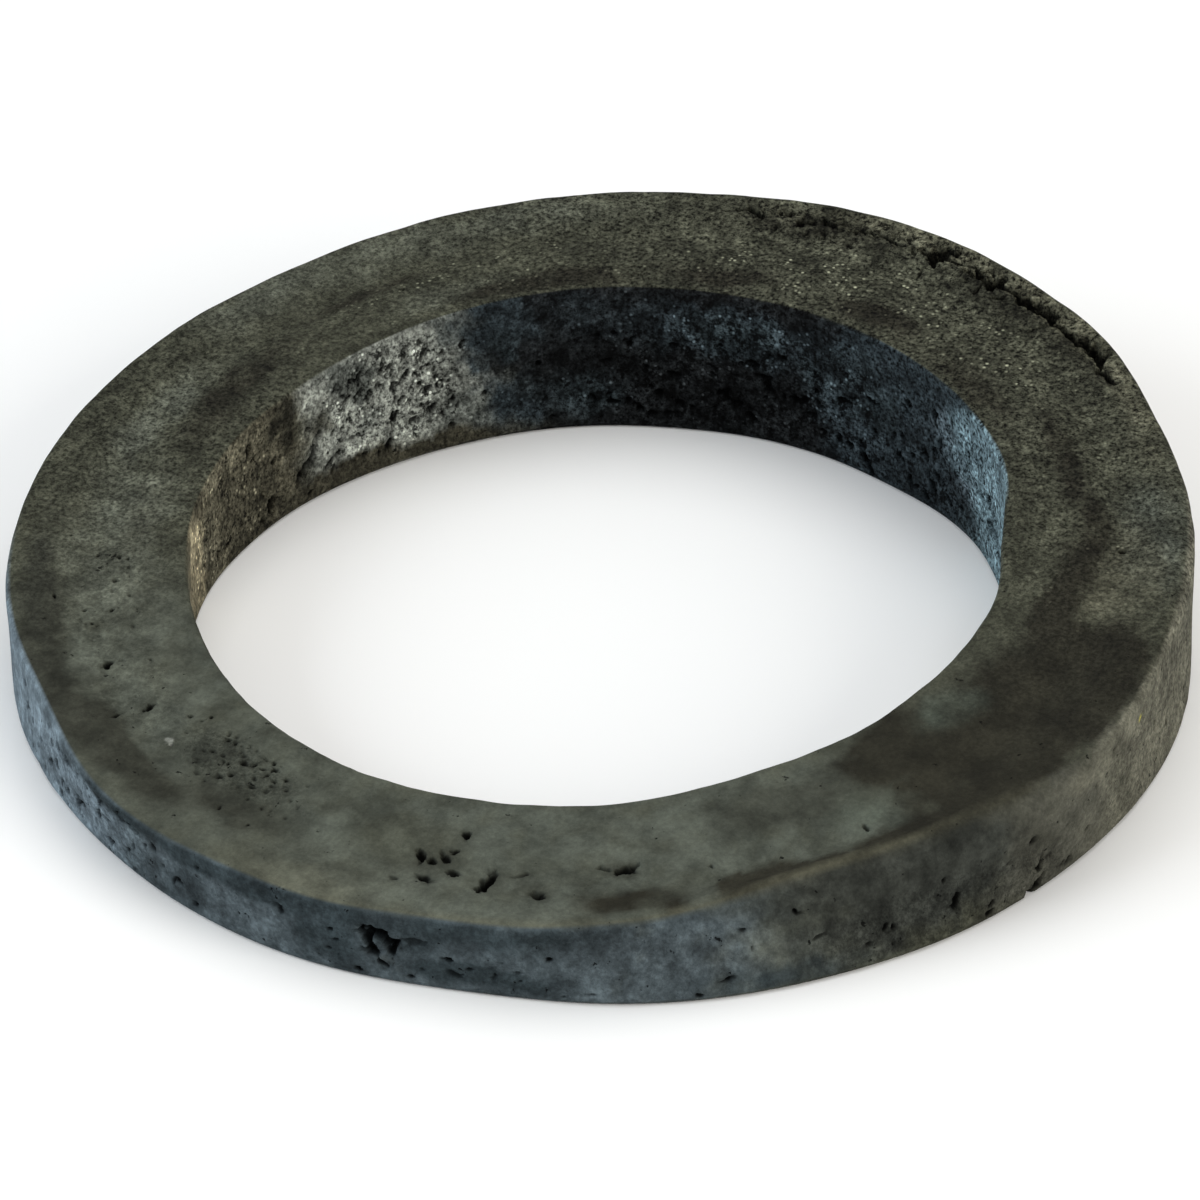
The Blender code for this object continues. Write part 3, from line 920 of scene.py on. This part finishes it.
def refine(mesh, solid, frames, pits, finest):
    """Divides the faces near each pit, with a margin that is halved each time.

    The first time the crumbliest zones are divided too, and the last time only the faces near the finest
    pits, which are the first in the list.
    """
    bm = bmesh.new()
    bm.from_mesh(mesh)
    margin = PIT_MARGIN_MM
    for turn in range(REFINED_TIMES):
        bm.faces.ensure_lookup_table()
        bm.normal_update()
        middles = np.array([face.calc_center_median() for face in bm.faces])
        tree = point_tree(middles)
        near = set()
        last = turn == REFINED_TIMES - 1
        for frame, pit in zip(frames[: finest if last else None], pits):
            found = [i for _, i, _ in tree.find_range(frame[0], (max(pit[3:5]) / 2 + margin) * MM)]
            if found:
                near.update(np.array(found)[in_pit(middles[found], frame, pit, margin) < 1].tolist())
        if turn == 0:
            facing = np.array([face.normal for face in bm.faces])
            worn = zone_strength(solid, middles, facing, CRUMBLY)
            near.update(np.flatnonzero(worn > REFINED_CRUMBLINESS).tolist())
        edges = {edge for i in near for edge in bm.faces[i].edges}
        bmesh.ops.subdivide_edges(bm, edges=list(edges), cuts=1, use_grid_fill=True, use_single_edge=True)
        margin /= 2
    bmesh.ops.recalc_face_normals(bm, faces=bm.faces)
    bm.to_mesh(mesh)
    bm.free()


def read(mesh, name, collection="vertices"):
    """A vector for each vertex of the mesh, as an array."""
    values = np.empty(len(mesh.vertices) * 3, np.float32)
    getattr(mesh, collection).foreach_get(name, values)
    return values.reshape(-1, 3).astype(float)


def uneven(points, size, offset=0.0):
    """Smooth noise of this size at each point, about from -1 to 1."""
    return np.array([noise.noise(Vector(point)) for point in points / size + offset])


def dug(points, frames, pits):
    """How each point is moved by the pits, and how much painted shade they lay on it, from 0 to 1."""
    tree = point_tree(points)
    coarse, fine = RAGGED_SIZES
    ragged = 1 + PIT_RAGGEDNESS * (uneven(points, coarse) + 0.5 * uneven(points, fine))
    move = np.zeros_like(points)
    shade = np.zeros(len(points))
    for frame, pit in zip(frames, pits):
        length, width, depth = pit[3:6]
        found = [i for _, i, _ in tree.find_range(frame[0], max(length, width) * PIT_SEARCH * MM)]
        if not found:
            continue
        found = np.array(found)
        away = in_pit(points[found], frame, pit, 0) * ragged[found]
        bowl = np.clip(1 - away**2, 0, 1)
        move[found] += np.outer(bowl**PIT_POWER * depth * MM, frame[1])
        dark = np.maximum(bowl**PIT_SHADE_POWER, PIT_HALO * np.clip(HALO_REACH - away, 0, 1))
        dark *= np.clip(depth / DARK_PIT_MM, LEAST_PIT_DARKNESS, 1)
        shade[found] = np.maximum(shade[found], dark)
    size = np.linalg.norm(move, axis=1, keepdims=True)
    return move * np.minimum(1, DEEPEST_PIT / np.maximum(size, TINY)), shade


def swollen(solid, points, normals, worn):
    """How far each point stands out from the plain ring, apart from the pits. The underside stays flat."""
    azimuth, places = zone_places(solid, points)
    weights = face_weights(points, normals)
    swell = sum(height * uneven(points, size) for size, height in SWELLING)
    for centre, reach, inset, width, height in RIM_LINES:
        line = hump(turned(azimuth, centre), reach) * hump(places["rim"] - inset, width)
        swell += height * line * weights["top"]
    crumbs = (height * (uneven(points, size, CRUMB_OFFSET) - CRUMB_LOSS) for size, height in CRUMBS)
    swell += worn * sum(crumbs)
    return np.where(normals[:, 2] < FACING_DOWN, 0, swell)


def stains_and_painted_light(solid, points, normals):
    """The rubber's own colour with its stains and its painted light and shade, for each point."""
    shift = sum(amount * uneven(points, size) for size, amount in STAIN_WANDER)
    patchy = 1 + sum(share * uneven(points, size, offset) for size, share, offset in STAIN_PATCHES)
    azimuth, places = zone_places(solid, points)
    weights = face_weights(points, normals)
    colour = np.tile(linear(COLOURS["olive"]), (len(points), 1))
    for face, centre, reach, middle, across, name, strength in STAINS_AND_PAINTED_LIGHT:
        around = azimuth + (STAIN_TURN_IN_BORE if face == "bore" else STAIN_TURN) * shift
        place = places[face] + shift * min(1, across / NARROW_STAIN_MM)
        inside = inside_zone(around, place, centre, reach, middle, across)
        amount = np.clip(strength * weights[face] * inside * patchy, 0, 1)
        colour += (linear(COLOURS[name]) - colour) * amount[:, None]
    return colour


def gritty(solid, points):
    """How gritty the surface looks at each point."""
    azimuth, _ = zone_places(solid, points)
    above = (strength * hump(turned(azimuth, centre), reach) for centre, reach, strength in GRIT)
    return LEAST_GRIT + sum(above)


def gasket_surface(cad_mesh, box):
    """The ring with its swelling, rim lines, crumbly zones, pits, stains and painted light and shade, kept
    inside the box.
    """
    random = np.random.default_rng(SEED)
    solid = Solid(cad_mesh)
    mesh = ring_mesh(section_columns(solid))
    marked = with_companions([*MARKED_PITS, *TORN_SLITS], random)
    pits = [pit for pit in (*marked, *scattered_pits(random)) if fits_wall(solid, pit)]
    frames = [pit_frame(solid, face, azimuth, place, turn) for face, azimuth, place, _, _, _, turn in pits]
    specks = [(face, azimuth, place, 2 * size, 2 * size, 0, 0) for face, azimuth, place, size, _ in SPECKS]
    speck_frames = [pit_frame(solid, face, azimuth, place, 0) for face, azimuth, place, _, _ in SPECKS]
    refine(mesh, solid, speck_frames + frames, specks + pits, finest=len(specks) + len(marked))

    points, normals = read(mesh, "co"), read(mesh, "vector", "vertex_normals")
    worn = zone_strength(solid, points, normals, CRUMBLY)
    move, shade = dug(points, frames, pits)
    moved = points + move + normals * swollen(solid, points, normals, worn)[:, None]
    mesh.vertices.foreach_set("co", np.clip(moved, *box).astype(np.float32).ravel())

    colour = stains_and_painted_light(solid, points, normals)
    for speck_frame, (_, _, _, size, name) in zip(speck_frames, SPECKS):
        near = hump(np.linalg.norm(points - speck_frame[0], axis=1), size * MM * SPECK_SPREAD)
        colour += (linear(COLOURS[name]) - colour) * np.clip(near * SPECK_GAIN, 0, 1)[:, None]
    # Painted shade in and round the pits
    colour *= (1 - PIT_SHADE * np.clip(shade * PIT_SHADE_GAIN, 0, 1))[:, None]
    tone_and_painted_light = mesh.attributes.new("tone_and_painted_light", "FLOAT_COLOR", "POINT")
    tone_and_painted_light.data.foreach_set("color", np.insert(colour, 3, 1, axis=1).astype(np.float32).ravel())
    levels = {
        "worn": worn,
        "grit": gritty(solid, points),
        "sandy": zone_strength(solid, points, normals, SANDY),
        "spotty": zone_strength(solid, points, normals, SPOTTY),
    }
    for name, values in levels.items():
        mesh.attributes.new(name, "FLOAT", "POINT").data.foreach_set("value", values.astype(np.float32))
    mesh.shade_smooth()
    mesh.update()
    piece = bpy.data.objects.new("sponge_ring", mesh)
    bpy.context.scene.collection.objects.link(piece)
    return piece


class Nodes:
    """A short way to write a material's nodes."""

    def __init__(self, material):
        material.use_nodes = True
        self.tree = material.node_tree
        self.tree.nodes.clear()

    def add(self, kind, inputs=None, **settings):
        """A node, with each input linked to a socket or set to a value."""
        node = self.tree.nodes.new(kind)
        for name, value in settings.items():
            setattr(node, name, value)
        for name, value in (inputs or {}).items():
            if isinstance(value, bpy.types.NodeSocket):
                self.tree.links.new(value, node.inputs[name])
            else:
                node.inputs[name].default_value = value
        return node

    def math(self, operation, a, b):
        return self.add("ShaderNodeMath", {0: a, 1: b}, operation=operation).outputs[0]

    def map(self, value, low, high, to_low, to_high):
        """The value from one range in another, cut at the ends."""
        inputs = {"Value": value, "From Min": low, "From Max": high, "To Min": to_low, "To Max": to_high}
        return self.add("ShaderNodeMapRange", inputs).outputs[0]

    def attribute(self, name):
        return self.add("ShaderNodeAttribute", attribute_name=name).outputs["Fac"]

    def cloud(self, place, scale, detail, roughness=0.6):
        """Soft noise at a place."""
        inputs = {"Vector": place, "Scale": scale, "Detail": detail, "Roughness": roughness}
        return self.add("ShaderNodeTexNoise", inputs).outputs["Fac"]

    def around_one(self, value, strength):
        """A level that is 1 where the value is 0, and moves off it with the strength."""
        return self.math("ADD", self.math("MULTIPLY", value, strength), 1.0)


def pale_flecks(n, place, sandy):
    """Grains of sand: the brightest few of many small cells, thicker in some places than in others."""
    cells = n.add("ShaderNodeTexVoronoi", {"Vector": place, "Scale": FLECK_SCALE, "Randomness": 1.0})
    pick = n.add("ShaderNodeSeparateColor", {"Color": cells.outputs["Color"]}).outputs[0]
    near = n.map(cells.outputs["Distance"], 0.12, 0.48, 1.0, 0.0)
    fleck = n.math("MULTIPLY", n.map(pick, 0.78, 0.93, 0.0, FLECK_LEVEL), near)
    drift = n.map(n.cloud(place, DRIFT_SCALE, 2), 0.42, 0.60, 0.1, 1.3)
    return n.math("MULTIPLY", fleck, n.math("MULTIPLY", sandy, drift))


def rubber_material():
    """Dull cellular rubber: the mesh's stains and painted light and shade, broken up by mottling, grit, open
    pores darkened with painted shade, and pale flecks.
    """
    material = bpy.data.materials.new("worn_sponge_rubber")
    n = Nodes(material)
    place = n.add("ShaderNodeTexCoord").outputs["Object"]
    tone_and_painted_light = n.add("ShaderNodeAttribute", attribute_name="tone_and_painted_light").outputs["Color"]
    worn, grit, sandy, spotty = (n.attribute(name) for name in ("worn", "grit", "sandy", "spotty"))

    mottle = n.map(n.cloud(place, MOTTLE_SCALE, 5, 0.62), 0.36, 0.64, *MOTTLE_LEVELS)
    grain = n.map(n.cloud(place, GRAIN_SCALE, 4, 0.75), 0.38, 0.62, -1.0, 1.0)
    crumbs = n.map(n.cloud(place, CRUMB_SCALE, 4, 0.7), 0.36, 0.64, -1.0, 1.0)
    blotches = n.map(n.cloud(place, BLOTCH_SCALE, 3), 0.40, 0.60, -BLOTCH_CONTRAST, BLOTCH_CONTRAST)
    pore_limit = n.map(worn, 0.0, 1.0, 0.30, 0.43)
    pore_field = n.math("SUBTRACT", pore_limit, n.cloud(place, PORE_SCALE, 3, 0.7))
    pore = n.map(pore_field, -0.01, 0.03, 0.0, 1.0)

    rough_grit = n.math("MAXIMUM", grit, n.math("MULTIPLY", worn, 1.3))
    coarse_worn = n.math("MULTIPLY", worn, CRUMB_CONTRAST_WORN)
    coarse_grit = n.math("MULTIPLY", grit, CRUMB_CONTRAST_GRITTY)
    coarse = n.math("MAXIMUM", n.math("MAXIMUM", coarse_worn, coarse_grit), spotty)
    grain_level = n.around_one(grain, n.math("MULTIPLY", rough_grit, GRAIN_CONTRAST))
    patch_level = n.math("MULTIPLY", n.around_one(crumbs, coarse), n.around_one(blotches, spotty))
    level = n.math("MULTIPLY", n.math("MULTIPLY", mottle, grain_level), patch_level)
    # Painted shade in the fine pores
    level = n.math("MULTIPLY", level, n.map(pore, 0.0, 1.0, 1.0, PORE_SHADE_LEVEL))
    level = n.math("MAXIMUM", n.math("ADD", level, pale_flecks(n, place, sandy)), LEAST_LEVEL)
    shade = n.add("ShaderNodeCombineXYZ", {"X": level, "Y": level, "Z": level}).outputs[0]
    colour = n.add("ShaderNodeVectorMath", {0: tone_and_painted_light, 1: shade}, operation="MULTIPLY").outputs[0]

    height = n.math("ADD", n.math("MULTIPLY", grain, rough_grit), n.math("MULTIPLY", pore, PORE_BUMP))
    height = n.math("ADD", height, n.math("MULTIPLY", mottle, MOTTLE_BUMP))
    height = n.math("ADD", height, n.math("MULTIPLY", crumbs, worn))
    bump_inputs = {"Strength": BUMP_STRENGTH, "Distance": BUMP_HEIGHT, "Height": height}
    bump = n.add("ShaderNodeBump", bump_inputs).outputs[0]
    roughness = n.map(mottle, *MOTTLE_LEVELS, *ROUGHNESS)
    inputs = {"Base Color": colour, "Roughness": roughness, "Normal": bump, "Specular IOR Level": SPECULAR}
    shader = n.add("ShaderNodeBsdfPrincipled", inputs)
    n.add("ShaderNodeOutputMaterial", {"Surface": shader.outputs[0]})
    return material


def build_floor():
    """A plain pale floor, white where the camera sees it."""
    mesh = bpy.data.meshes.new("floor")
    half = FLOOR_SIDE / 2
    corners = [(x * half, y * half, -FLOOR_GAP) for x, y in ((-1, -1), (1, -1), (1, 1), (-1, 1))]
    mesh.from_pydata(corners, [], [(0, 1, 2, 3)])
    floor = bpy.data.objects.new("floor", mesh)
    bpy.context.scene.collection.objects.link(floor)
    material = bpy.data.materials.new("pale_floor")
    n = Nodes(material)
    path = n.add("ShaderNodeLightPath").outputs["Is Camera Ray"]
    plain = n.add("ShaderNodeBsdfDiffuse", {"Color": FLOOR_COLOUR})
    seen = n.add("ShaderNodeBsdfDiffuse", {"Color": WHITE})
    both = n.add("ShaderNodeMixShader", {0: path, 1: plain.outputs[0], 2: seen.outputs[0]})
    n.add("ShaderNodeOutputMaterial", {"Surface": both.outputs[0]})
    mesh.materials.append(material)


def build_world():
    """White where the camera, a reflection or a clear thing sees it, and a softer level as light."""
    world = bpy.data.worlds.new("studio")
    bpy.context.scene.world = world
    n = Nodes(world)
    path = n.add("ShaderNodeLightPath").outputs
    seen = n.math("MAXIMUM", path["Is Camera Ray"], path["Is Glossy Ray"])
    seen = n.math("MAXIMUM", seen, path["Is Transmission Ray"])
    strength = n.map(seen, 0.0, 1.0, SKY_STRENGTH, 1.0)
    sky = n.add("ShaderNodeBackground", {"Color": WHITE, "Strength": strength})
    n.add("ShaderNodeOutputWorld", {"Surface": sky.outputs[0]})


def build_lights():
    """Softboxes that face the ring. A white surface that faces one alone renders at about its share."""
    for name, azimuth, elevation, distance, side, share, colour in SOFTBOXES:
        lamp = bpy.data.lights.new(name, "AREA")
        lamp.size = side
        lamp.energy = share * math.pi**2 * distance**2
        lamp.color = colour
        box = bpy.data.objects.new(name, lamp)
        box.location = direction(azimuth, elevation) * distance
        box.rotation_mode = "QUATERNION"
        box.rotation_quaternion = box.location.to_track_quat("Z", "Y")
        bpy.context.scene.collection.objects.link(box)


def build_camera():
    """The photograph's camera, aimed a little above the middle of the ring."""
    data = bpy.data.cameras.new("camera")
    data.sensor_width = SENSOR_MM
    data.lens = CAMERA_LENS_MM
    camera = bpy.data.objects.new("camera", data)
    back = direction(CAMERA_AZIMUTH - 90, CAMERA_ELEVATION)
    right = direction(CAMERA_AZIMUTH, 0)
    up = back.cross(right)
    aim = up * AIM_UP - right * AIM_LEFT
    camera.location = back * CAMERA_DISTANCE
    camera.rotation_mode = "QUATERNION"
    level = (camera.location - aim).to_track_quat("Z", "Y")
    camera.rotation_quaternion = level @ Quaternion((0, 0, 1), math.radians(CAMERA_ROLL))
    bpy.context.scene.collection.objects.link(camera)
    bpy.context.scene.camera = camera


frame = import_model()
cad_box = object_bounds()
bpy.context.scene.view_settings.view_transform = "Standard"
build_camera()
build_lights()
build_world()
build_floor()

gasket = gasket_surface(frame["nodes"][NODE].data, cad_box)
gasket.data.materials.append(rubber_material())
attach(gasket, BODY)
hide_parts(NODE)
